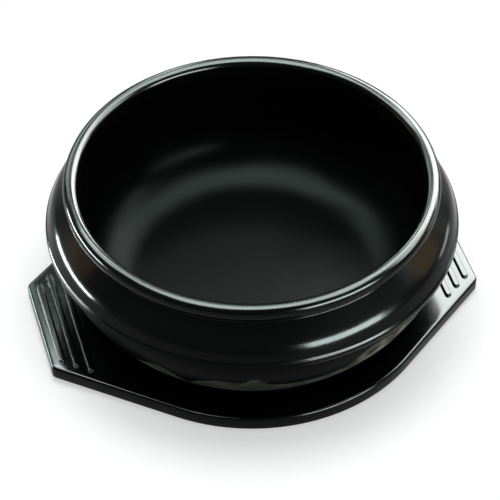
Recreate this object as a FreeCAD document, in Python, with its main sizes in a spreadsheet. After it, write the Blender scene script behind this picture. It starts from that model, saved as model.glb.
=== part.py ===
import FreeCAD, Part
import math
import os
import Sketcher

# A dolsot: a thick glazed stoneware bowl standing in its own moulded tray.
# Frame: millimetres, +Z up, the tray's foot ring stands on z = 0, the bowl's
# axis is the Z axis and the tray's two handles reach along X.

os.makedirs("parts", exist_ok=True)
doc = FreeCAD.newDocument("dolsot")

# Every size in one sheet, in millimetres and degrees
SIZES = [
    # bowl: radii are counted inwards from the belt, heights downwards from the lip
    ("belt_rad", 95.0, "belt, outer radius"),
    ("bowl_tall", 71.75, "bowl, foot to the top of the lip"),
    ("lip_inset", 9.15, "lip, outer face in from the belt"),
    ("lip_wide", 6.9, "lip, thickness across, its top is a half round"),
    ("lip_deep", 5.6, "lip, top to its lower edge"),
    ("lip_under", 2.8, "lip, rounding of the lower edge"),
    ("neck_inset", 2.75, "neck, in from the outer face of the lip"),
    ("neck_down", 7.85, "neck, below the top of the lip"),
    ("neck_round", 0.6, "neck, hollow rounding under the lip"),
    ("slope_rad", 200.0, "slope between neck and shoulder, radius of its slight swell"),
    ("shoulder_inset", 2.4, "shoulder, in from the belt"),
    ("shoulder_rise", 10.2, "shoulder, above the upper edge of the belt"),
    ("shoulder_round", 12.0, "shoulder, rounding"),
    ("groove_inset", 0.7, "groove between shoulder and belt, in from the belt"),
    ("groove_rise", 0.6, "groove, above the upper edge of the belt"),
    ("belt_down", 24.55, "belt, upper edge below the top of the lip"),
    ("belt_wall", 2.6, "belt, height of its upright face"),
    ("belt_round", 1.4, "belt, rounding of its edges"),
    ("belly_inset", 2.7, "belly, in from the belt where the two meet"),
    ("belly_drop", 2.2, "belly, below the lower edge of the belt"),
    ("belly_curve", 70.0, "belly, radius of the outer curve"),
    ("foot_inset", 28.4, "foot, outer face in from the belt"),
    ("foot_lip", 1.4, "foot, bevel at the outer edge"),
    ("ring_wide", 9.5, "foot ring, width"),
    ("ring_deep", 1.8, "foot ring, height over the hollow base"),
    ("mouth_slope", 0.4, "inside, how far the mouth narrows to the neck"),
    ("wall_inset", 13.4, "inside, greatest radius in from the belt"),
    ("inner_down", 27.75, "inside, greatest radius below the top of the lip"),
    ("inner_turn", 0.782, "inside, curved share of the height under that"),
    ("inner_floor", 8.2, "inside, thickness from the seat to the floor"),
    # tray: radii are counted outwards from the foot of the bowl
    ("seat_gap", 1.6, "well, room round the foot on the floor of the well"),
    ("well_slope", 10.8, "well, width of the flared side"),
    ("well_deep", 3.0, "well, depth"),
    ("well_floor", 2.8, "well, thickness of the floor"),
    ("well_round", 1.0, "well, rounding of its upper edge"),
    ("ledge", 7.5, "tray, flat ledge between the well and the edge of the disc"),
    ("handle_out", 16.5, "handles, end beyond the disc"),
    ("flare", 50.8, "tray, where the long edges leave the disc, degrees from X"),
    ("corner_rad", 4.0, "handles, rounding of the corners in plan"),
    ("tray_top", 9.0, "tray, height of the upper face"),
    ("skirt_low", 2.5, "tray, height of the lower edge of the skirt"),
    ("skirt_wall", 2.6, "tray, thickness of the skirt"),
    ("plate", 3.0, "tray, thickness of the upper plate"),
    ("edge_round", 1.4, "tray, rounding of the outer upper edge"),
    ("stand_inset", 2.6, "tray foot ring, in from the foot of the bowl"),
    ("stand_wide", 5.0, "tray foot ring, width"),
    ("stand_round", 1.2, "tray foot ring, rounding"),
    ("rib_inset", 5.4, "grip ribs, handle end to the middle of the first"),
    ("rib_pitch", 5.8, "grip ribs, middle to middle"),
    ("rib_wide", 2.8, "grip ribs, width"),
    ("rib_tall", 1.2, "grip ribs, height"),
    ("rib_margin", 6.2, "grip ribs, distance of the ends from the long edge, along Y"),
    ("rib_round", 0.6, "grip ribs, rounding of the upper edge"),
]
size = {}
sheet = doc.addObject("Spreadsheet::Sheet", "Sizes")
for row, (alias, value, words) in enumerate(SIZES, start=1):
    sheet.set("A%d" % row, words)
    sheet.set("B%d" % row, str(value))
    sheet.setAlias("B%d" % row, alias)
    size[alias] = value
doc.recompute()

# Radii and heights that follow from the sheet, once in words for the sketches and once as numbers
FOOT_RAD = "(Sizes.belt_rad - Sizes.foot_inset)"
WELL_RAD = "(Sizes.belt_rad - Sizes.foot_inset + Sizes.seat_gap + Sizes.well_slope)"
DISC_RAD = "(%s + Sizes.ledge)" % WELL_RAD
REACH = "(%s + Sizes.handle_out)" % DISC_RAD
STAND_RAD = "(%s - Sizes.stand_inset)" % FOOT_RAD
LIP_RAD = "(Sizes.belt_rad - Sizes.lip_inset)"
INNER_RAD = "(Sizes.belt_rad - Sizes.wall_inset)"
foot_rad = size["belt_rad"] - size["foot_inset"]
well_rad = foot_rad + size["seat_gap"] + size["well_slope"]
disc_rad = well_rad + size["ledge"]
reach = disc_rad + size["handle_out"]
stand_rad = foot_rad - size["stand_inset"]
lip_rad = size["belt_rad"] - size["lip_inset"]
inner_rad = size["belt_rad"] - size["wall_inset"]


def origin_part(body, role):
    """The body's own origin plane or axis with this role."""
    for feature in body.Origin.OriginFeatures:
        if feature.Role == role:
            return feature
    raise RuntimeError("no origin feature " + role)


def new_body(label):
    body = doc.addObject("PartDesign::Body", label)
    body.Label = label
    return body


def new_sketch(body, name, role, lift=None):
    """A sketch on one of the body's origin planes, lifted by an expression."""
    sketch = body.newObject("Sketcher::SketchObject", name)
    sketch.AttachmentSupport = [(origin_part(body, role), "")]
    sketch.MapMode = "FlatFace"
    if lift:
        sketch.setExpression("AttachmentOffset.Base.z", lift)
    return sketch


def bind(sketch, kind, geometry, point, rough, expression):
    """One distance from the sketch origin, driven by the sheet."""
    if abs(rough) < 1e-9 and expression == "0":
        axis = -2 if kind == "DistanceX" else -1
        sketch.addConstraint(Sketcher.Constraint("PointOnObject", geometry, point, axis))
        return
    index = sketch.addConstraint(
        Sketcher.Constraint(kind, -1, 1, geometry, point, rough))
    sketch.setExpression("Constraints[%d]" % index, expression)


def outline(sketch, corners, bends=None):
    """Close a chain of lines, or arcs where bends names a radius, through corners.

    corners: (rough x, expression, rough y, expression); bends: the edge that
    leaves corner i is an arc of radius (rough, expression, turn), turn +1 when
    the centre lies left of the way from corner i to the next one.
    """
    bends = bends or {}
    count = len(corners)
    spots = [FreeCAD.Vector(c[0], c[2], 0) for c in corners]
    for i in range(count):
        start, end = spots[i], spots[(i + 1) % count]
        if i in bends:
            radius, words, turn = bends[i]
            chord = end - start
            left = FreeCAD.Vector(-chord.y, chord.x, 0).normalize()
            rise = math.sqrt(max(radius ** 2 - (chord.Length / 2) ** 2, 0))
            centre = (start + end) * 0.5 + left * (turn * rise)
            first, last = (start, end) if turn > 0 else (end, start)
            a_first = math.atan2(first.y - centre.y, first.x - centre.x)
            a_last = math.atan2(last.y - centre.y, last.x - centre.x)
            circle = Part.Circle(centre, FreeCAD.Vector(0, 0, 1), radius)
            sketch.addGeometry(Part.ArcOfCircle(circle, a_first, a_last), False)
            flip = turn < 0
        else:
            sketch.addGeometry(Part.LineSegment(start, end), False)
            flip = False
        bends.setdefault(("flip", i), flip)
    for i in range(count):
        j = (i + 1) % count
        tail = 1 if bends[("flip", i)] else 2
        head = 2 if bends[("flip", j)] else 1
        sketch.addConstraint(Sketcher.Constraint("Coincident", i, tail, j, head))
    for i, (x, x_words, y, y_words) in enumerate(corners):
        head = 2 if bends[("flip", i)] else 1
        bind(sketch, "DistanceX", i, head, x, x_words)
        bind(sketch, "DistanceY", i, head, y, y_words)
    for i in range(count):
        if i in bends:
            radius, words, turn = bends[i]
            index = sketch.addConstraint(Sketcher.Constraint("Radius", i, radius))
            sketch.setExpression("Constraints[%d]" % index, words)
    return sketch


def turned(body, name, sketch, kind="PartDesign::Revolution"):
    feature = body.newObject(kind, name)
    feature.Profile = sketch
    feature.ReferenceAxis = (sketch, ["V_Axis"])
    feature.Angle = 360
    body.Tip = feature
    doc.recompute()
    return feature


def raised(body, name, sketch, kind, length):
    feature = body.newObject(kind, name)
    feature.Profile = sketch
    feature.setExpression("Length", length)
    body.Tip = feature
    doc.recompute()
    return feature


def rounded(body, name, base, edges, radius):
    """Round the named edges; the radius comes from the sheet."""
    if not edges:
        raise RuntimeError("no edge for " + name)
    feature = body.newObject("PartDesign::Fillet", name)
    feature.Base = (base, edges)
    feature.setExpression("Radius", radius)
    body.Tip = feature
    doc.recompute()
    return feature


def rings(feature, radius, height):
    """Names of the full circles about Z at this radius and height."""
    names = []
    for i, edge in enumerate(feature.Shape.Edges, start=1):
        curve = edge.Curve
        if not isinstance(curve, Part.Circle):
            continue
        if math.hypot(curve.Center.x, curve.Center.y) > 1e-4:
            continue
        if abs(curve.Radius - radius) < 1e-3 and abs(curve.Center.z - height) < 1e-3:
            names.append("Edge%d" % i)
    return names


# The bowl: one turned section, walls thick at the belt, base hollowed inside a foot ring
bowl = new_body("bowl")
seat = "(Sizes.tray_top - Sizes.well_deep)"
seat_up = size["tray_top"] - size["well_deep"]


def above(words):
    return "%s + %s" % (seat, words)


lip_in = lip_rad - size["lip_wide"]
lip_half = size["lip_wide"] / 2
mouth_in = lip_in - size["mouth_slope"]
shoulder_rad = size["belt_rad"] - size["shoulder_inset"]
top = seat_up + size["bowl_tall"]
belt_top = top - size["belt_down"]
belt_low = belt_top - size["belt_wall"]
neck_up = top - size["neck_down"]
inner_up = top - size["inner_down"]
curve_rad = (inner_up - seat_up - size["inner_floor"]) * size["inner_turn"]
CURVE = "((Sizes.bowl_tall - Sizes.inner_down - Sizes.inner_floor) * Sizes.inner_turn)"
section = new_sketch(bowl, "bowl_section", "XZ_Plane")
outline(section, [
    (0, "0", seat_up + size["ring_deep"], above("Sizes.ring_deep")),
    (foot_rad - size["ring_wide"] - size["ring_deep"],
     FOOT_RAD + " - Sizes.ring_wide - Sizes.ring_deep",
     seat_up + size["ring_deep"], above("Sizes.ring_deep")),
    (foot_rad - size["ring_wide"], FOOT_RAD + " - Sizes.ring_wide", seat_up, seat),
    (foot_rad - size["foot_lip"], FOOT_RAD + " - Sizes.foot_lip", seat_up, seat),
    (foot_rad, FOOT_RAD, seat_up + size["foot_lip"], above("Sizes.foot_lip")),
    (size["belt_rad"] - size["belly_inset"], "Sizes.belt_rad - Sizes.belly_inset",
     belt_low - size["belly_drop"],
     above("Sizes.bowl_tall - Sizes.belt_down - Sizes.belt_wall - Sizes.belly_drop")),
    (size["belt_rad"], "Sizes.belt_rad", belt_low,
     above("Sizes.bowl_tall - Sizes.belt_down - Sizes.belt_wall")),
    (size["belt_rad"], "Sizes.belt_rad", belt_top, above("Sizes.bowl_tall - Sizes.belt_down")),
    (size["belt_rad"] - size["groove_inset"], "Sizes.belt_rad - Sizes.groove_inset",
     belt_top + size["groove_rise"], above("Sizes.bowl_tall - Sizes.belt_down + Sizes.groove_rise")),
    (shoulder_rad, "Sizes.belt_rad - Sizes.shoulder_inset", belt_top + size["shoulder_rise"],
     above("Sizes.bowl_tall - Sizes.belt_down + Sizes.shoulder_rise")),
    (lip_rad - size["neck_inset"], LIP_RAD + " - Sizes.neck_inset", neck_up,
     above("Sizes.bowl_tall - Sizes.neck_down")),
    (lip_rad, LIP_RAD, top - size["lip_deep"], above("Sizes.bowl_tall - Sizes.lip_deep")),
    (lip_rad, LIP_RAD, top - lip_half, above("Sizes.bowl_tall - Sizes.lip_wide / 2")),
    (lip_rad - lip_half, LIP_RAD + " - Sizes.lip_wide / 2", top, above("Sizes.bowl_tall")),
    (lip_in, LIP_RAD + " - Sizes.lip_wide", top - lip_half,
     above("Sizes.bowl_tall - Sizes.lip_wide / 2")),
    (mouth_in, LIP_RAD + " - Sizes.lip_wide - Sizes.mouth_slope", neck_up,
     above("Sizes.bowl_tall - Sizes.neck_down")),
    (inner_rad, INNER_RAD, inner_up, above("Sizes.bowl_tall - Sizes.inner_down")),
    (inner_rad, INNER_RAD, seat_up + size["inner_floor"] + curve_rad,
     above("Sizes.inner_floor + " + CURVE)),
    (inner_rad - curve_rad, INNER_RAD + " - " + CURVE, seat_up + size["inner_floor"],
     above("Sizes.inner_floor")),
    (0, "0", seat_up + size["inner_floor"], above("Sizes.inner_floor")),
], {
    4: (size["belly_curve"], "Sizes.belly_curve", 1),
    9: (size["slope_rad"], "Sizes.slope_rad", 1),
    12: (lip_half, "Sizes.lip_wide / 2", 1),
    13: (lip_half, "Sizes.lip_wide / 2", 1),
    17: (curve_rad, CURVE, -1),
})
bowl_turned = turned(bowl, "bowl_turned", section)

# Softened edges of the bowl, as glaze leaves them
step = rounded(bowl, "lip_rounding", bowl_turned,
               rings(bowl_turned, lip_rad, top - size["lip_deep"]), "Sizes.lip_under")
step = rounded(bowl, "neck_rounding", step,
               rings(step, lip_rad - size["neck_inset"], neck_up), "Sizes.neck_round")
step = rounded(bowl, "shoulder_rounding", step,
               rings(step, shoulder_rad, belt_top + size["shoulder_rise"]), "Sizes.shoulder_round")
step = rounded(bowl, "belt_rounding", step,
               rings(step, size["belt_rad"], belt_top) + rings(step, size["belt_rad"], belt_low),
               "Sizes.belt_round")

# The tray: a round middle whose long edges run off at a tangent into two handles
tray = new_body("tray")
turn = math.radians(size["flare"])
tangent_x = disc_rad * math.cos(turn)
end_y = (disc_rad - reach * math.cos(turn)) / math.sin(turn)


def tray_outline(sketch, inset, words):
    """The tray's outline drawn inwards by inset: two arcs, four tangents, two ends."""
    disc = disc_rad - inset
    far = reach - inset
    tip = (disc - far * math.cos(turn)) / math.sin(turn)
    x_tan = disc * math.cos(turn)
    y_tan = disc * math.sin(turn)
    disc_w = "(%s - %s)" % (DISC_RAD, words)
    far_w = "(%s - %s)" % (REACH, words)
    tip_w = "((%s - %s * cos(Sizes.flare * 1deg)) / sin(Sizes.flare * 1deg))" % (disc_w, far_w)
    x_w = "%s * cos(Sizes.flare * 1deg)" % disc_w
    y_w = "%s * sin(Sizes.flare * 1deg)" % disc_w
    outline(sketch, [
        (far, far_w, -tip, "-" + tip_w),
        (far, far_w, tip, tip_w),
        (x_tan, x_w, y_tan, y_w),
        (-x_tan, "-" + x_w, y_tan, y_w),
        (-far, "-" + far_w, tip, tip_w),
        (-far, "-" + far_w, -tip, "-" + tip_w),
        (-x_tan, "-" + x_w, -y_tan, "-" + y_w),
        (x_tan, x_w, -y_tan, "-" + y_w),
    ], {2: (disc, disc_w, 1), 6: (disc, disc_w, 1)})


plan = new_sketch(tray, "tray_plan", "XY_Plane", "Sizes.skirt_low")
tray_outline(plan, 0.0, "0")
step = raised(tray, "tray_slab", plan, "PartDesign::Pad", "Sizes.tray_top - Sizes.skirt_low")


def upright_corners(feature, far, tip):
    """Names of the four upright edges at the handle corners."""
    names = []
    for i, edge in enumerate(feature.Shape.Edges, start=1):
        a, b = edge.Vertexes[0].Point, edge.Vertexes[-1].Point
        upright = math.hypot(a.x - b.x, a.y - b.y) < 1e-4 and abs(a.z - b.z) > 0.5
        if upright and abs(abs(a.x) - far) < 1e-3 and abs(abs(a.y) - tip) < 1e-3:
            names.append("Edge%d" % i)
    return names


step = rounded(tray, "handle_corners", step, upright_corners(step, reach, end_y),
               "Sizes.corner_rad")

# Hollow underside: a skirt all round, the plate carried on it
hollow = new_sketch(tray, "hollow_plan", "XY_Plane", "Sizes.skirt_low")
tray_outline(hollow, size["skirt_wall"], "Sizes.skirt_wall")
before = step.Shape.Volume
step = raised(tray, "hollow", hollow, "PartDesign::Pocket",
              "Sizes.tray_top - Sizes.plate - Sizes.skirt_low")
if step.Shape.Volume > before - 1000:
    step.Reversed = True
    doc.recompute()

# Boss that carries the well floor, and the ring the tray stands on
boss_up = size["tray_top"] - size["well_deep"] - size["well_floor"]
boss = new_sketch(tray, "boss_section", "XZ_Plane")
BOSS_UP = "(Sizes.tray_top - Sizes.well_deep - Sizes.well_floor)"
ring_in = stand_rad - size["stand_wide"]
RING_IN = STAND_RAD + " - Sizes.stand_wide"
outline(boss, [
    (0, "0", boss_up, BOSS_UP),
    (ring_in, RING_IN, boss_up, BOSS_UP),
    (ring_in, RING_IN, 0, "0"),
    (stand_rad, STAND_RAD, 0, "0"),
    (stand_rad, STAND_RAD, boss_up, BOSS_UP),
    (foot_rad + size["seat_gap"] + 2, FOOT_RAD + " + Sizes.seat_gap + 2", boss_up, BOSS_UP),
    (well_rad + 1.5, WELL_RAD + " + 1.5", size["tray_top"] - size["plate"],
     "Sizes.tray_top - Sizes.plate"),
    (well_rad + 1.5, WELL_RAD + " + 1.5", size["tray_top"] - 1, "Sizes.tray_top - 1"),
    (0, "0", size["tray_top"] - 1, "Sizes.tray_top - 1"),
])
step = turned(tray, "well_boss", boss)

# The well the bowl stands in: a flat floor and a shallow flared side
well = new_sketch(tray, "well_section", "XZ_Plane")
outline(well, [
    (0, "0", seat_up, seat),
    (foot_rad + size["seat_gap"], FOOT_RAD + " + Sizes.seat_gap", seat_up, seat),
    (well_rad, WELL_RAD, size["tray_top"], "Sizes.tray_top"),
    (well_rad, WELL_RAD, size["tray_top"] + 4, "Sizes.tray_top + 4"),
    (0, "0", size["tray_top"] + 4, "Sizes.tray_top + 4"),
])
before = step.Shape.Volume
step = turned(tray, "well_cut", well, "PartDesign::Groove")
if step.Shape.Volume > before - 1000:
    raise RuntimeError("the well was not cut")

step = rounded(tray, "well_edge", step, rings(step, well_rad, size["tray_top"]),
               "Sizes.well_round")
step = rounded(tray, "stand_edges", step,
               rings(step, stand_rad, 0.0) + rings(step, ring_in, 0.0), "Sizes.stand_round")

# Three grip ribs on each handle, their ends following the slanting long edges
ribs = new_sketch(tray, "rib_plan", "XY_Plane", "Sizes.tray_top - 0.5")
count = 0
for side in (1, -1):
    sign = "" if side > 0 else "-"
    for i in range(3):
        middle = reach - size["rib_inset"] - i * size["rib_pitch"]
        half = size["rib_wide"] / 2
        tip = (disc_rad - middle * math.cos(turn)) / math.sin(turn) - size["rib_margin"]
        mid_w = "(%s - Sizes.rib_inset - %d * Sizes.rib_pitch)" % (REACH, i)
        tip_w = ("((%s - %s * cos(Sizes.flare * 1deg)) / sin(Sizes.flare * 1deg)"
                 " - Sizes.rib_margin - Sizes.rib_wide / 2)" % (DISC_RAD, mid_w))
        tip -= half
        centre = side * middle
        top = FreeCAD.Vector(centre, tip, 0)
        low = FreeCAD.Vector(centre, -tip, 0)
        out = FreeCAD.Vector(half, 0, 0)
        sketch_lines = [
            Part.LineSegment(low + out, top + out),
            Part.ArcOfCircle(Part.Circle(top, FreeCAD.Vector(0, 0, 1), half), 0, math.pi),
            Part.LineSegment(top - out, low - out),
            Part.ArcOfCircle(Part.Circle(low, FreeCAD.Vector(0, 0, 1), half), math.pi, 2 * math.pi),
        ]
        for line in sketch_lines:
            ribs.addGeometry(line, False)
        a, b, c, d = count, count + 1, count + 2, count + 3
        ribs.addConstraint(Sketcher.Constraint("Tangent", a, 2, b, 1))
        ribs.addConstraint(Sketcher.Constraint("Tangent", b, 2, c, 1))
        ribs.addConstraint(Sketcher.Constraint("Tangent", c, 2, d, 1))
        ribs.addConstraint(Sketcher.Constraint("Tangent", d, 2, a, 1))
        bind(ribs, "DistanceX", b, 3, centre, sign + mid_w)
        bind(ribs, "DistanceY", b, 3, tip, tip_w)
        bind(ribs, "DistanceX", d, 3, centre, sign + mid_w)
        bind(ribs, "DistanceY", d, 3, -tip, "-" + tip_w)
        index = ribs.addConstraint(Sketcher.Constraint("Radius", b, half))
        ribs.setExpression("Constraints[%d]" % index, "Sizes.rib_wide / 2")
        count += 4
step = raised(tray, "grip_ribs", ribs, "PartDesign::Pad", "Sizes.rib_tall + 0.5")


def crest_edges(feature, height):
    """Names of every edge that lies flat at this height."""
    names = []
    for i, edge in enumerate(feature.Shape.Edges, start=1):
        box = edge.BoundBox
        if abs(box.ZMin - height) < 1e-3 and abs(box.ZMax - height) < 1e-3:
            names.append("Edge%d" % i)
    return names


step = rounded(tray, "rib_rounding", step, crest_edges(step, size["tray_top"] + size["rib_tall"]),
               "Sizes.rib_round")


def rim_edges(feature, height):
    """Names of the tray's outermost edges at this height."""
    names = []
    for i, edge in enumerate(feature.Shape.Edges, start=1):
        box = edge.BoundBox
        if abs(box.ZMin - height) > 1e-3 or abs(box.ZMax - height) > 1e-3:
            continue
        spot = edge.valueAt((edge.FirstParameter + edge.LastParameter) / 2)
        x, y = abs(spot.x), abs(spot.y)
        on_side = x * math.cos(turn) + y * math.sin(turn) > disc_rad - 0.5
        on_disc = math.hypot(x, y) > disc_rad - 0.5
        on_end = x > reach - size["corner_rad"]
        if (on_disc and x < tangent_x + 1) or on_side or on_end:
            names.append("Edge%d" % i)
    return names


step = rounded(tray, "outer_edge", step, rim_edges(step, size["tray_top"]), "Sizes.edge_round")

# Check every object, then write one solid for each body
doc.recompute()
for item in doc.Objects:
    if "Invalid" in item.State or "Error" in item.State:
        raise RuntimeError("not computed: " + item.Name)
for body in (bowl, tray):
    if body.Shape.isNull() or not body.Shape.isValid():
        raise RuntimeError("bad shape: " + body.Label)
    body.Shape.exportStep(os.path.join("parts", body.Label + ".step"))
    box = body.Shape.optimalBoundingBox()
    print(body.Label, "solids", len(body.Shape.Solids), "volume cm3",
          round(body.Shape.Volume / 1000, 1), "z", round(box.ZMin, 2), round(box.ZMax, 2),
          "x", round(box.XMin, 2), round(box.XMax, 2), "y", round(box.YMin, 2), round(box.YMax, 2))
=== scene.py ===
import math

import bpy
import numpy as np
from mathutils import Matrix, Vector


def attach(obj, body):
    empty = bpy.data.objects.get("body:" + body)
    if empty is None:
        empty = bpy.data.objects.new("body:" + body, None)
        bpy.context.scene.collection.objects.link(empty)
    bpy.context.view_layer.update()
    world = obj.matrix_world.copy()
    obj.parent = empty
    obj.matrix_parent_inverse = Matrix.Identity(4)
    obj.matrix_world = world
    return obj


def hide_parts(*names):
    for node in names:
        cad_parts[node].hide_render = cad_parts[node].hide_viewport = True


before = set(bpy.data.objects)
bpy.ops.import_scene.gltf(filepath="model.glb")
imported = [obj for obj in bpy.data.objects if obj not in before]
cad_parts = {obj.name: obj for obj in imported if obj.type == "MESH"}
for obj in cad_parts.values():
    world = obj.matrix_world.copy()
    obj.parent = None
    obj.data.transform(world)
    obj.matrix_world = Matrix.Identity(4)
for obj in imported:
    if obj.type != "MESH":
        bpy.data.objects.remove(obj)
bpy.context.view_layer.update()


# The bowl is one pot of stoneware, thrown and turned: a foot ring, a belly, a narrow belt with a
# groove over it, a round shoulder, a slope up to the neck, a round lip and a plain rounded inside.
# Thick black glaze covers all but the foot, where dry grey clay shows, and leaves every edge soft.

# Sizes of the section in mm. A pair is the distance from the axis and the height above the table.
ring_foot = 6.0
hollow_foot = 7.8
bevel_top = (66.6, 7.4)
belly_middle, belly_round = (23.794, 62.787), 70.0
belt = 95.0
lip_middle, lip_round = (82.4, 74.3), 3.45
turn_middle, turn_round = (53.6, 42.2), 28.0
lip_out, lip_in = lip_middle[0] + lip_round, lip_middle[0] - lip_round
wall_in, inside_floor = turn_middle[0] + turn_round, turn_middle[1] - turn_round
edge_softness = 0.16


def arc(cx, cz, radius, a0, a1, count):
    """Points of a circular arc in the section plane: centre plus radius times cosine and sine."""
    a = np.radians(np.linspace(a0, a1, count))
    return np.stack([cx + radius * np.cos(a), cz + radius * np.sin(a)], 1)


def eased(corners):
    """The open polyline of (x, z, radius) with each corner replaced by a tangent arc.

    The arc starts radius * tan(turn / 2) before the corner, and its centre is
    radius away from both edges.
    """
    points = [corners[0][:2]]
    for before, here, after in zip(corners, corners[1:], corners[2:]):
        corner = np.array(here[:2])
        come = corner - before[:2]
        go = np.array(after[:2]) - corner
        come, go = come / np.hypot(*come), go / np.hypot(*go)
        bend = math.atan2(come[0] * go[1] - come[1] * go[0], come @ go)
        start = corner - come * here[2] * math.tan(abs(bend) / 2)
        left = np.array([-come[1], come[0]]) * math.copysign(1, bend)
        for part in np.linspace(0, 1, 9 if here[2] else 1):
            turned = abs(bend) * part
            points.append(start + here[2] * (come * math.sin(turned) + left * (1 - math.cos(turned))))
    points.append(corners[-1][:2])
    return np.array(points)


outer = np.concatenate([
    [(0.0, hollow_foot), (55.3, hollow_foot), (57.1, ring_foot), (65.2, ring_foot), bevel_top],
    arc(*belly_middle, belly_round, -52.3, -11.9, 40),
    eased([(92.3, 48.4, 0.0), (belt, 50.6, 1.4), (belt, 53.2, 1.4), (94.3, 53.8, 0.7), (91.74, 60.15, 12.1),
           (82.9, 68.3, 0.0), (83.1, 69.9, 0.4), (lip_out, 72.15, 2.7), (lip_out, lip_middle[1], 0.0)]),
    arc(*lip_middle, lip_round, 4.0, 180.0, 40),
    eased([(lip_in, lip_middle[1], 0.0), (78.55, 69.9, 1.5), (79.2, 66.0, 0.0), (81.4, 52.0, 1.0),
           (wall_in, 48.0, 0.0)]),
    arc(*turn_middle, turn_round, 0.0, -90.0, 30),
    [(30.0, inside_floor), (0.0, inside_floor)],
])


def bell_smoothed(line, width):
    """The polyline resampled every 0.1 mm and averaged along its length with a bell curve.

    The bell is exp(-(distance / width) squared / 2), and both ends are mirrored
    through their end points so that these stay in place.
    """
    step = 0.1
    pieces = np.hypot(*np.diff(line, axis=0).T)
    run = np.concatenate([[0.0], np.cumsum(pieces)])
    s = np.arange(0.0, run[-1], step)
    fine = np.stack([np.interp(s, run, line[:, 0]), np.interp(s, run, line[:, 1])], 1)
    reach = int(4 * width / step)
    bell = np.exp(-0.5 * (np.arange(-reach, reach + 1) * step / width) ** 2)
    bell /= bell.sum()
    lead = 2 * fine[0] - fine[reach:0:-1]
    tail = 2 * fine[-1] - fine[-2:-reach - 2:-1]
    full = np.concatenate([lead, fine, tail])
    return np.stack([np.convolve(full[:, k], bell, "valid") for k in (0, 1)], 1)


def thinned(line, count, pull):
    """count points of the line, spaced by length times (1 + pull * curvature)."""
    steps = np.diff(line, axis=0)
    length = np.hypot(steps[:, 0], steps[:, 1])
    lean = np.unwrap(np.arctan2(steps[:, 1], steps[:, 0]))
    bend = np.abs(np.gradient(lean)) / np.maximum(length, 1e-6)
    bend = np.convolve(bend, np.ones(15) / 15, "same")
    weight = np.concatenate([[0.0], np.cumsum(length * (1 + pull * bend))])
    at = np.interp(np.linspace(0, weight[-1], count), weight, np.arange(len(line)))
    index = np.arange(len(line))
    return np.stack([np.interp(at, index, line[:, k]) for k in (0, 1)], 1)


section_points, bend_pull = 270, 9.0
section = thinned(bell_smoothed(outer, edge_softness), section_points, bend_pull)[1:-1]

# The section is turned round the axis: each point is (radius cos spin, radius sin spin, height).
around = 288
spin = np.linspace(0, 2 * np.pi, around, endpoint=False)
radius = np.repeat(section[:, :1], around, 1)
height = np.repeat(section[:, 1:], around, 1)
along = np.arange(len(section))
outside = (along <= np.argmax(section[:, 1]))[:, None]
above_foot = (along > np.argmin(np.hypot(*(section - bevel_top).T)))[:, None]


def waves(angle, seed, orders, size):
    """A closed wavy line round the axis.

    It is the sum over the orders of a seeded normal draw times
    sin(order * angle + a seeded phase) / square root of order, and all of it is
    multiplied by size / square root of the number of orders.
    """
    dice = np.random.default_rng(seed)
    total = np.zeros_like(angle)
    for order in orders:
        total = total + dice.normal() * np.sin(order * angle + dice.uniform(0, 2 * np.pi)) / order ** 0.5
    return size * total / len(orders) ** 0.5


# The glaze stops along a wavering line and thins out over a short run. Each pair is a heading in
# degrees, counted from the side that the camera faces, and the height of the line in mm.
front = math.radians(15.7)
waver, glaze_run = 1.5, 2.0
drips = np.array([
    (-180, 24), (-165, 27), (-150, 20), (-140, 16), (-134, 24), (-126, 29), (-119, 36), (-115, 33),
    (-111, 22), (-106, 31), (-101, 35), (-97, 35), (-93.6, 33.5), (-91.6, 36), (-90.2, 38.5),
    (-87.9, 38), (-86.6, 34), (-84, 31.5), (-78, 30), (-73, 30.5), (-67, 32), (-62, 33), (-59, 37),
    (-55, 43.5), (-50, 44.5), (-44, 43), (-36, 41), (-25, 36), (-10, 30), (10, 25), (35, 29), (60, 33),
    (80, 22), (100, 27), (125, 34), (150, 21), (180, 24)])
heading = np.degrees(np.arctan2(np.sin(spin + front), np.cos(spin + front)))
glaze_line = np.interp(heading, drips[:, 0], drips[:, 1])
glaze_line = glaze_line + waves(spin, 11, (16, 23, 31, 47, 71, 113), waver)
covered = np.clip((height - glaze_line) / glaze_run + 0.5, 0.0, 1.0)
covered = np.where(outside, np.where(above_foot, covered, 0.0), 1.0)

# Firing leaves the round a little uneven, and the bare clay lies a glaze's thickness deeper.
glaze_thickness, belly_top = 0.22, 48.5
shrinkage, drawn_in, unevenness, foot_top = 0.0008, 0.07, 0.06, 10
swell = waves(spin, 4, (2, 3, 4, 5), unevenness)
radius = radius * (1 - shrinkage) + (swell - drawn_in) * (height > foot_top)
bare = outside & above_foot & (height < belly_top)
radius = radius - np.where(bare, glaze_thickness * (1 - covered), 0.0)


def ring_quads(rings, around, first=0):
    """Quads between successive closed rings of points, wound so they face outwards."""
    i = np.arange(rings - 1)[:, None] * around
    j = np.arange(around)[None, :]
    k = (j + 1) % around
    return (np.stack([i + j, i + k, i + around + k, i + around + j], -1) + first).reshape(-1, 4)


def closed_mesh(name, verts, quads, caps=()):
    """A mesh object at the origin from whole arrays of corners (mm) and faces."""
    faces = [tuple(int(i) for i in q) for q in quads] + [tuple(int(i) for i in c) for c in caps]
    mesh = bpy.data.meshes.new(name)
    mesh.from_pydata((np.asarray(verts) / 1000.0).tolist(), [], faces)
    mesh.polygons.foreach_set("use_smooth", [True] * len(mesh.polygons))
    mesh.update()
    piece = bpy.data.objects.new(name, mesh)
    bpy.context.scene.collection.objects.link(piece)
    return piece


def painted(piece, name, values, centres):
    """A value for every corner of the mesh, kept as an attribute that its material reads."""
    layer = piece.data.attributes.new(name, "FLOAT", "POINT")
    layer.data.foreach_set("value", np.concatenate([values.reshape(-1), centres]).astype(np.float32))


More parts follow.
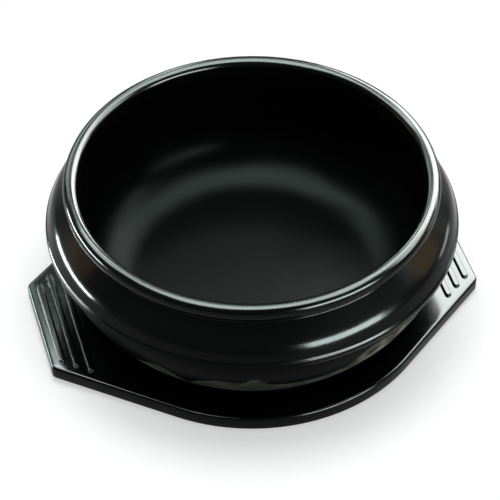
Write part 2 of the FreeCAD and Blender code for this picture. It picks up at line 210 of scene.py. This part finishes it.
count = len(section)
rings = np.stack([radius * np.cos(spin), radius * np.sin(spin), height], -1)
middles = [(0, 0, hollow_foot), (0, 0, inside_floor)]
j = np.arange(around)
k = (j + 1) % around
fans = [(count * around, b, a) for a, b in zip(j, k)]
fans += [(count * around + 1, (count - 1) * around + a, (count - 1) * around + b) for a, b in zip(j, k)]
bowl = closed_mesh("stoneware_bowl", np.concatenate([rings.reshape(-1, 3), middles]),
                   ring_quads(count, around), fans)
painted(bowl, "glaze", covered, [0.0, 1.0])

# Use has dulled the glaze below the belt, a little higher on one side, and low down inside.
grip = np.interp(heading, [-180, -152, -140, -77, -70, 180], [0, 0, 4.4, 4.4, 0, 0])
worn_below, worn_run = 50.0, 3.0
inside_worn_below, inside_worn_run = 66.0, 30.0
worn_outside = (worn_below + grip - height) / worn_run
worn_inside = (inside_worn_below - height) / inside_worn_run
worn = np.clip(np.where(outside, worn_outside, worn_inside), 0.0, 1.0)
painted(bowl, "wear", worn, [1.0, 1.0])

# Painted shade on the bare clay: deep on most sides, least on the front right where the lamps fall, and
# full towards the foot under the belly.
painted_side_shade = np.interp(heading, [-180, -75, -62, -52, -44, -30, -15, 20, 180],
                  [0.86, 0.85, 0.70, 0.16, 0.0, 0.06, 0.30, 0.60, 0.86])
shade_waver, shaded_below, shaded_run, deepest_shade = 0.06, 30.0, 8.0, 0.96
painted_side_shade = np.broadcast_to(painted_side_shade + waves(spin, 6, (9, 14, 22, 37), shade_waver), height.shape)
painted_foot_shade = (shaded_below + 40.0 * waves(spin, 8, (7, 12, 19), shade_waver) - height) / shaded_run
# The painted shade is kept as an attribute that the clay's colour reads.
painted(bowl, "painted_shade", np.clip(np.maximum(painted_side_shade, painted_foot_shade), 0.0, deepest_shade), [0.4, 0.0])


def node(tree, kind, **values):
    """A shader node with its plain sockets and fields set by name."""
    made = tree.nodes.new(kind)
    for key, value in values.items():
        if key in made.inputs:
            made.inputs[key].default_value = value
        else:
            setattr(made, key, value)
    return made


def ramp(tree, *stops):
    """A colour ramp through two stops, each a place and a colour."""
    made = node(tree, "ShaderNodeValToRGB")
    for i, (at, colour) in enumerate(stops):
        made.color_ramp.elements[i].position = at
        made.color_ramp.elements[i].color = (*colour, 1)
    return made


def blank_material(name):
    """A new material with an empty tree: the material, its tree, its output and its coordinates."""
    material = bpy.data.materials.new(name)
    material.use_nodes = True
    material.node_tree.nodes.clear()
    tree = material.node_tree
    return material, tree, node(tree, "ShaderNodeOutputMaterial"), node(tree, "ShaderNodeTexCoord")


# The glaze over the clay: the "glaze" attribute, made ragged by a fine crumb, mixes the two.
glaze, t, out, place = blank_material("glazed_stoneware")
both = node(t, "ShaderNodeMixShader")
t.links.new(both.outputs[0], out.inputs["Surface"])
coat = node(t, "ShaderNodeBsdfPrincipled", IOR=1.50)
clay = node(t, "ShaderNodeBsdfPrincipled", **{"IOR": 1.45, "Specular IOR Level": 0.06})
t.links.new(clay.outputs[0], both.inputs[1])
t.links.new(coat.outputs[0], both.inputs[2])
edge = node(t, "ShaderNodeAttribute", attribute_name="glaze")
crumb = node(t, "ShaderNodeTexNoise", Scale=420.0, Detail=3.0)
t.links.new(place.outputs["Object"], crumb.inputs["Vector"])
ragged = node(t, "ShaderNodeMath", operation="MULTIPLY_ADD")
t.links.new(crumb.outputs["Fac"], ragged.inputs[0])
ragged.inputs[1].default_value = 0.5
t.links.new(edge.outputs["Fac"], ragged.inputs[2])
cover = node(t, "ShaderNodeMapRange", **{"From Min": 0.62, "From Max": 0.82})
t.links.new(ragged.outputs[0], cover.inputs["Value"])
t.links.new(cover.outputs["Result"], both.inputs[0])

# Black with a trace of green, pooled a little, with a few specks of iron in it.
pool = node(t, "ShaderNodeTexNoise", Scale=28.0, Detail=4.0)
t.links.new(place.outputs["Object"], pool.inputs["Vector"])
tone = ramp(t, (0.3, (0.0010, 0.0015, 0.0012)), (0.75, (0.0021, 0.0029, 0.0023)))
t.links.new(pool.outputs["Fac"], tone.inputs["Fac"])
speck = node(t, "ShaderNodeTexNoise", Scale=900.0, Detail=2.0)
t.links.new(place.outputs["Object"], speck.inputs["Vector"])
fleck = ramp(t, (0.66, (0, 0, 0)), (0.74, (1, 1, 1)))
t.links.new(speck.outputs["Fac"], fleck.inputs["Fac"])
iron = node(t, "ShaderNodeMix", data_type="RGBA", B=(0.009, 0.008, 0.005, 1))
t.links.new(fleck.outputs["Color"], iron.inputs["Factor"])
t.links.new(tone.outputs["Color"], iron.inputs["A"])
t.links.new(iron.outputs["Result"], coat.inputs["Base Color"])

# Glossy, less so where it is worn, over a faint ripple and the peel of a fired glaze.
sheen = node(t, "ShaderNodeMapRange", **{"To Min": 0.10, "To Max": 0.21})
t.links.new(pool.outputs["Fac"], sheen.inputs["Value"])
rubbed = node(t, "ShaderNodeAttribute", attribute_name="wear")
dull = node(t, "ShaderNodeMath", operation="MULTIPLY_ADD")
t.links.new(rubbed.outputs["Fac"], dull.inputs[0])
dull.inputs[1].default_value = 0.14
t.links.new(sheen.outputs["Result"], dull.inputs[2])
t.links.new(dull.outputs[0], coat.inputs["Roughness"])
shine = node(t, "ShaderNodeMapRange", **{"To Min": 0.08, "To Max": 0.007})
t.links.new(rubbed.outputs["Fac"], shine.inputs["Value"])
t.links.new(shine.outputs["Result"], coat.inputs["Specular IOR Level"])
peel = node(t, "ShaderNodeTexNoise", Scale=150.0, Detail=2.0)
t.links.new(place.outputs["Object"], peel.inputs["Vector"])
ripple = node(t, "ShaderNodeTexNoise", Scale=34.0, Detail=1.0)
t.links.new(place.outputs["Object"], ripple.inputs["Vector"])
rippled = node(t, "ShaderNodeBump", Strength=0.35, Distance=0.0010)
t.links.new(ripple.outputs["Fac"], rippled.inputs["Height"])
peeled = node(t, "ShaderNodeBump", Strength=0.25, Distance=0.00016)
t.links.new(peel.outputs["Fac"], peeled.inputs["Height"])
t.links.new(rippled.outputs["Normal"], peeled.inputs["Normal"])
t.links.new(peeled.outputs["Normal"], coat.inputs["Normal"])

# The bare clay: sandy pale grey, stained in blotches, and darkened by painted shade.
sand = node(t, "ShaderNodeTexNoise", Scale=1300.0, Detail=6.0)
t.links.new(place.outputs["Object"], sand.inputs["Vector"])
stain = node(t, "ShaderNodeTexNoise", Scale=120.0, Detail=6.0)
t.links.new(place.outputs["Object"], stain.inputs["Vector"])
dust = node(t, "ShaderNodeMix", data_type="RGBA", A=(0.100, 0.104, 0.070, 1), B=(0.400, 0.410, 0.310, 1))
t.links.new(sand.outputs["Fac"], dust.inputs["Factor"])
burn = ramp(t, (0.40, (0.10, 0.10, 0.07)), (0.62, (1, 1, 1)))
t.links.new(stain.outputs["Fac"], burn.inputs["Fac"])
dirty = node(t, "ShaderNodeMix", data_type="RGBA", blend_type="MULTIPLY", Factor=1.0)
t.links.new(dust.outputs["Result"], dirty.inputs["A"])
t.links.new(burn.outputs["Color"], dirty.inputs["B"])
# Painted shade: the clay colour is mixed towards near black where the shade attribute is high.
painted_shade = node(t, "ShaderNodeAttribute", attribute_name="painted_shade")
shaded_clay = node(t, "ShaderNodeMix", data_type="RGBA", B=(0.005, 0.0055, 0.0035, 1))
t.links.new(painted_shade.outputs["Fac"], shaded_clay.inputs["Factor"])
t.links.new(dirty.outputs["Result"], shaded_clay.inputs["A"])
t.links.new(shaded_clay.outputs["Result"], clay.inputs["Base Color"])
dry = node(t, "ShaderNodeMapRange", **{"To Min": 0.72, "To Max": 0.92})
t.links.new(sand.outputs["Fac"], dry.inputs["Value"])
t.links.new(dry.outputs["Result"], clay.inputs["Roughness"])
grit = node(t, "ShaderNodeBump", Strength=0.6, Distance=0.0003)
t.links.new(sand.outputs["Fac"], grit.inputs["Height"])
t.links.new(grit.outputs["Normal"], clay.inputs["Normal"])

bowl.data.materials.append(glaze)
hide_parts("bowl")
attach(bowl, "root")


# The tray is one moulding of black plastic: a shallow well, a flat top flush out to two handles whose
# long edges leave the disc at a tangent, a rounded edge, three low grip ribs on each handle, and a
# hollow underside with a skirt and a foot ring.
disc_radius, handle_reach, corner_round, flare = 86.5, 103.0, 4.0, math.radians(50.8)
top, plate_under, well_floor = 9.0, 6.0, 6.0
upper_round, lower_round, skirt_foot = 1.4, 0.5, 2.5
wall_middle, wall_foot, flat_margin, well_softness = 5.0, 3.0, 1.5, 0.7


def rim(angle, inset):
    """Distance from the axis to the tray's outline, drawn inwards by inset.

    The disc's radius between the tangent points, otherwise the nearer of the
    slanting edge, radius / cos(angle - flare), and the end, reach / cos(angle),
    with the corner between them rounded.
    """
    a = np.abs(np.arctan2(np.sin(angle), np.cos(angle)))
    a = np.minimum(a, np.pi - a)
    disc, far, bend = disc_radius - inset, handle_reach - inset, corner_round - inset
    slant = disc / np.cos(np.minimum(flare - a, 1.4))
    straight = np.where(a < flare, np.minimum(slant, far / np.cos(a)), disc)
    cx = handle_reach - corner_round
    cy = (disc_radius - corner_round - cx * math.cos(flare)) / math.sin(flare)
    a1 = math.atan2(cy, cx + bend)
    a2 = math.atan2(cy + bend * math.sin(flare), cx + bend * math.cos(flare))
    along = cx * np.cos(a) + cy * np.sin(a)
    curve = along + np.sqrt(np.maximum(along ** 2 - cx ** 2 - cy ** 2 + bend ** 2, 0.0))
    return np.where((a > a1) & (a < a2), curve, straight)


# Rays from the axis, closer together at the four corners of the handles.
corner_at = math.atan2((disc_radius - handle_reach * math.cos(flare)) / math.sin(flare), handle_reach)
extra = np.concatenate([c + np.linspace(-0.055, 0.045, 26) for c in
                        (corner_at, np.pi - corner_at, np.pi + corner_at, 2 * np.pi - corner_at)])
angle = np.unique(np.round(np.concatenate([np.linspace(0, 2 * np.pi, 400, endpoint=False), extra]), 5))
flat = np.ones_like(angle)

# Closed bands from the middle of the well out over the edge and back underneath: each is the
# distance from the axis on every ray, and one height. The well's stops crowd at its bends.
well_line = np.array([(1.0, well_floor), (68.2, well_floor), (79.0, top), (84.0, top)])
well = bell_smoothed(well_line, well_softness)
stops = [10, 300, 550, 640, 660, 664, 668, 672, 676, 680, 686, 700, 730, 760, 768, 772, 776, 780,
         784, 790, 800]
bands = [(flat * r, z) for r, z in well[stops]]
for step in (0.15, 0.35, 0.6, 0.85):
    bands.append((well[stops[-1], 0] * (1 - step) + rim(angle, flat_margin) * step, top))
for bow in np.radians(np.linspace(0, 90, 9)):
    bands.append((rim(angle, upper_round * (1 - math.sin(bow))), top - upper_round * (1 - math.cos(bow))))
bands.append((rim(angle, 0.0), wall_middle))
for bow in np.radians(np.linspace(0, 90, 5)):
    bands.append((rim(angle, lower_round * (1 - math.cos(bow))), wall_foot - lower_round * math.sin(bow)))
for inset, z in ((2.2, skirt_foot), (2.6, 2.9), (2.6, 5.6), (3.0, plate_under)):
    bands.append((rim(angle, inset), z))
for r, z in ((81.0, plate_under), (79.8, 5.8), (70.6, 3.3), (69.6, 3.2), (64.4, 3.2), (64.0, 2.8),
             (64.0, 1.2), (63.65, 0.35), (62.8, 0.0), (60.2, 0.0), (59.35, 0.35), (59.0, 1.2),
             (59.0, 2.8), (58.6, 3.2), (30.0, 3.2), (1.0, 3.2)):
    bands.append((flat * r, z))
far = np.stack([np.broadcast_to(r, angle.shape) for r, z in bands])
up = np.repeat(np.array([[z] for r, z in bands]), len(angle), 1)
shell_points = np.stack([far * np.cos(angle), far * np.sin(angle), up], -1)
rays = len(angle)
tray_verts = [shell_points.reshape(-1, 3)]
tray_quads = [ring_quads(len(bands), rays)[:, ::-1]]
tray_caps = [tuple(range(rays)), tuple(range(len(bands) * rays - 1, (len(bands) - 1) * rays - 1, -1))]

# Grip ribs: rounded bars across each handle, each a stadium in plan with a small fillet where it
# grows out of the plate. Their ends follow the slanting long edges.
rib_half, rib_top, fillet, rib_crown = 1.4, 10.2, 0.35, 0.6
rib_root, rib_flat = 8.6, 0.4
first_rib, rib_pitch, rib_clear = 5.4, 5.8, 6.2
bow = np.radians(np.linspace(0, 90, 7))
foot = np.stack([rib_half + fillet * (1 - np.sin(bow)), top + fillet * (1 - np.cos(bow))], 1)
crown = np.stack([rib_half - rib_crown * (1 - np.cos(bow)), rib_top - rib_crown * (1 - np.sin(bow))], 1)
profile = np.concatenate([[(rib_half + fillet, rib_root)], foot, crown, [(rib_flat, rib_top)]])
ends = np.concatenate([np.linspace(0, np.pi, 21), np.linspace(np.pi, 2 * np.pi, 21)])
lean = np.stack([np.cos(ends), np.sin(ends)], 1)
near_end = np.arange(len(ends)) < len(ends) // 2
first = len(bands) * rays
for side in (1, -1):
    for i in range(3):
        middle = handle_reach - first_rib - rib_pitch * i
        tip = (disc_radius - middle * math.cos(flare)) / math.sin(flare) - rib_clear - rib_half
        spine = np.stack([np.full(len(ends), side * middle), np.where(near_end, tip, -tip)], 1)
        bar = np.stack([np.concatenate([spine + lean * d, np.full((len(ends), 1), z)], 1)
                        for d, z in profile])
        last = first + len(profile) * len(ends)
        tray_verts.append(bar.reshape(-1, 3))
        tray_quads.append(ring_quads(len(profile), len(ends), first))
        tray_caps.append(tuple(range(first + len(ends) - 1, first - 1, -1)))
        tray_caps.append(tuple(range(last - len(ends), last)))
        first = last
tray = closed_mesh("moulded_tray", np.concatenate(tray_verts), np.concatenate(tray_quads), tray_caps)

# Polished black, a very faint sink and flow in the surface, and wiping scratches that only break
# up the gloss.
plastic, t, out, place = blank_material("black_plastic")
shell = node(t, "ShaderNodeBsdfPrincipled", **{"IOR": 1.50, "Specular IOR Level": 0.08})
t.links.new(shell.outputs[0], out.inputs["Surface"])
flow = node(t, "ShaderNodeTexNoise", Scale=24.0, Detail=3.0)
t.links.new(place.outputs["Object"], flow.inputs["Vector"])
tone = ramp(t, (0.35, (0.0012, 0.0017, 0.0016)), (0.75, (0.0022, 0.0029, 0.0027)))
t.links.new(flow.outputs["Fac"], tone.inputs["Fac"])
t.links.new(tone.outputs["Color"], shell.inputs["Base Color"])
stretch = node(t, "ShaderNodeMapping", Rotation=(0, 0, 0.5), Scale=(60.0, 900.0, 300.0))
t.links.new(place.outputs["Object"], stretch.inputs["Vector"])
wipe = node(t, "ShaderNodeTexNoise", Scale=1.0, Detail=3.0)
t.links.new(stretch.outputs["Vector"], wipe.inputs["Vector"])
gloss = node(t, "ShaderNodeMapRange", **{"To Min": 0.07, "To Max": 0.19})
t.links.new(wipe.outputs["Fac"], gloss.inputs["Value"])
t.links.new(gloss.outputs["Result"], shell.inputs["Roughness"])
sink = node(t, "ShaderNodeBump", Strength=0.12, Distance=0.0006)
t.links.new(flow.outputs["Fac"], sink.inputs["Height"])
t.links.new(sink.outputs["Normal"], shell.inputs["Normal"])

tray.data.materials.append(plastic)
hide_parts("tray")
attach(tray, "root")


# The floor is a pale sheet that the camera and the gloss see as nearly white, and that keeps the
# object's shadow.
half = 4  # metres
floor_mesh = bpy.data.meshes.new("floor")
floor_corners = [(-half, -half, 0), (half, -half, 0), (half, half, 0), (-half, half, 0)]
floor_mesh.from_pydata(floor_corners, [], [(0, 1, 2, 3)])
floor = bpy.data.objects.new("floor", floor_mesh)
bpy.context.scene.collection.objects.link(floor)
pale = bpy.data.materials.new("pale_floor")
pale.use_nodes = True
t = pale.node_tree
t.nodes.clear()
out = node(t, "ShaderNodeOutputMaterial")
matt = node(t, "ShaderNodeBsdfDiffuse", Color=(0.58, 0.58, 0.58, 1))
lift = node(t, "ShaderNodeEmission")
path = node(t, "ShaderNodeLightPath")
mirrored = node(t, "ShaderNodeMath", operation="MAXIMUM")
t.links.new(path.outputs["Is Glossy Ray"], mirrored.inputs[0])
t.links.new(path.outputs["Is Transmission Ray"], mirrored.inputs[1])
shown = node(t, "ShaderNodeMath", operation="MAXIMUM")
t.links.new(path.outputs["Is Camera Ray"], shown.inputs[0])
t.links.new(mirrored.outputs[0], shown.inputs[1])
seen = node(t, "ShaderNodeMath", operation="MULTIPLY")
seen.inputs[1].default_value = 0.50
t.links.new(shown.outputs[0], seen.inputs[0])
t.links.new(seen.outputs[0], lift.inputs["Strength"])
added = node(t, "ShaderNodeAddShader")
t.links.new(matt.outputs[0], added.inputs[0])
t.links.new(lift.outputs[0], added.inputs[1])
t.links.new(added.outputs[0], out.inputs["Surface"])
floor_mesh.materials.append(pale)


# The camera, from a fit to the outlines of lip, belt and tray: about 44 degrees above the table,
# the tray turned 16 degrees to it, a long lens a metre away.
focal_length_in_pixels, image_width = 2258.79, 500.0
cam_data = bpy.data.cameras.new("camera")
cam_data.sensor_width = 36.0
cam_data.lens = cam_data.sensor_width * focal_length_in_pixels / image_width
cam_data.clip_start = 0.05
camera = bpy.data.objects.new("camera", cam_data)
pan, pitch, roll = -0.0014, 0.7818, -0.0066
ahead = Vector((math.sin(pan) * math.cos(pitch), math.cos(pan) * math.cos(pitch), -math.sin(pitch)))
right = Vector((math.cos(pan), -math.sin(pan), 0.0))
upward = right.cross(ahead)
right, upward = (right * math.cos(roll) + upward * math.sin(roll),
                 upward * math.cos(roll) - right * math.sin(roll))
pose = Matrix((right, upward, -ahead)).transposed().to_4x4()
pose.translation = Vector((0.0, -0.748326, 0.772813))
camera.matrix_world = Matrix.Rotation(-front, 4, "Z") @ pose
bpy.context.scene.collection.objects.link(camera)
bpy.context.scene.camera = camera


# The studio is an even pale room with a broad lamp overhead and a weak one at the right for the
# plain level of light, and cards that only mirror in the gloss, placed for the long highlights.
world = bpy.data.worlds.new("studio")
bpy.context.scene.world = world
world.use_nodes = True
t = world.node_tree
t.nodes.clear()
out = node(t, "ShaderNodeOutputWorld")
room = node(t, "ShaderNodeBackground", Color=(0.97, 1.0, 1.0, 1), Strength=0.34)
t.links.new(room.outputs[0], out.inputs["Surface"])

white, daylight, cool, warm = (1, 1, 1), (0.95, 1.0, 0.99), (0.84, 1.0, 0.96), (1.0, 0.55, 0.22)
back_wall, ceiling = 560, 900
low_middle, middle_of_bowl = (0, 0, 40), (0, 0, 60)
left_shoulder, right_shoulder = (-80, -14, 66), (80, -14, 66)


def studio(side, deep, up):
    """A spot given as right, away and up from the camera's side, turned into the part's axes."""
    return Matrix.Rotation(-front, 3, "Z") @ Vector((side, deep, up))


def soft_box(name, spot, target, wide, tall, bright, tint=cool, card=True):
    """A rectangular lamp at spot facing target, both (right, away, up) in mm.

    bright is its brightness as seen in a mirror. A card lights the gloss only.
    """
    data = bpy.data.lights.new(name, "AREA")
    data.shape = "RECTANGLE"
    data.size, data.size_y = wide / 1000, tall / 1000
    data.energy = bright * math.pi * data.size * data.size_y
    data.color = tint
    lamp = bpy.data.objects.new(name, data)
    way = (studio(*target) - studio(*spot)).normalized()
    facing = way.to_track_quat("-Z", "Y").to_matrix().to_4x4()
    lamp.matrix_world = Matrix.Translation(studio(*spot) / 1000) @ facing
    lamp.visible_diffuse = not card
    lamp.visible_camera = False
    bpy.context.scene.collection.objects.link(lamp)


def wall_card(name, side, up, wide, tall, bright, tint=cool):
    """A card upright on the back wall, facing forwards."""
    soft_box(name, (side, back_wall, up), (side, 0, up), wide, tall, bright, tint)


def ceiling_card(name, side, deep, wide, tall, bright):
    """A card flat under the ceiling, facing down."""
    soft_box(name, (side, deep, ceiling), (side, deep, 0), wide, tall, bright)


soft_box("key_box", (0, 60, ceiling), low_middle, 560, 460, 7.0, white, card=False)
wall_card("back_window", 390, 600, 620, 600, 84, daylight)
soft_box("right_fill", (620, -420, 260), low_middle, 300, 200, 3.2, white, card=False)
soft_box("front_right_card", (490, -490, 250), middle_of_bowl, 500, 230, 84)
soft_box("left_card", (-690, 110, 46), middle_of_bowl, 440, 84, 170)
wall_card("left_window", -402, 420, 375, 400, 14)
wall_card("left_window_core", -305, 560, 110, 160, 46)
wall_card("back_right_low", 440, 210, 420, 190, 26)
ceiling_card("lip_card", 0, 95, 900, 700, 60)
soft_box("right_window", (570, 205, 500), right_shoulder, 500, 220, 50)
wall_card("crown_card", -60, 715, 360, 100, 50)
soft_box("right_low_card", (600, 240, 55), middle_of_bowl, 170, 80, 14)
soft_box("right_edge_card", (570, 370, 240), right_shoulder, 100, 120, 40)
wall_card("lip_fill_card", -88, 410, 64, 280, 45)
wall_card("crown_card_left", -290, 845, 260, 150, 110)
ceiling_card("lip_card_left", -600, 380, 420, 420, 50)
ceiling_card("lip_card_right", 600, 380, 420, 420, 50)
soft_box("warm_left", (-570, 190, 266), left_shoulder, 350, 160, 1.5, warm)
soft_box("warm_right", (570, 190, 268), right_shoulder, 350, 160, 2.8, warm)

bpy.context.scene.view_settings.view_transform = "Standard"
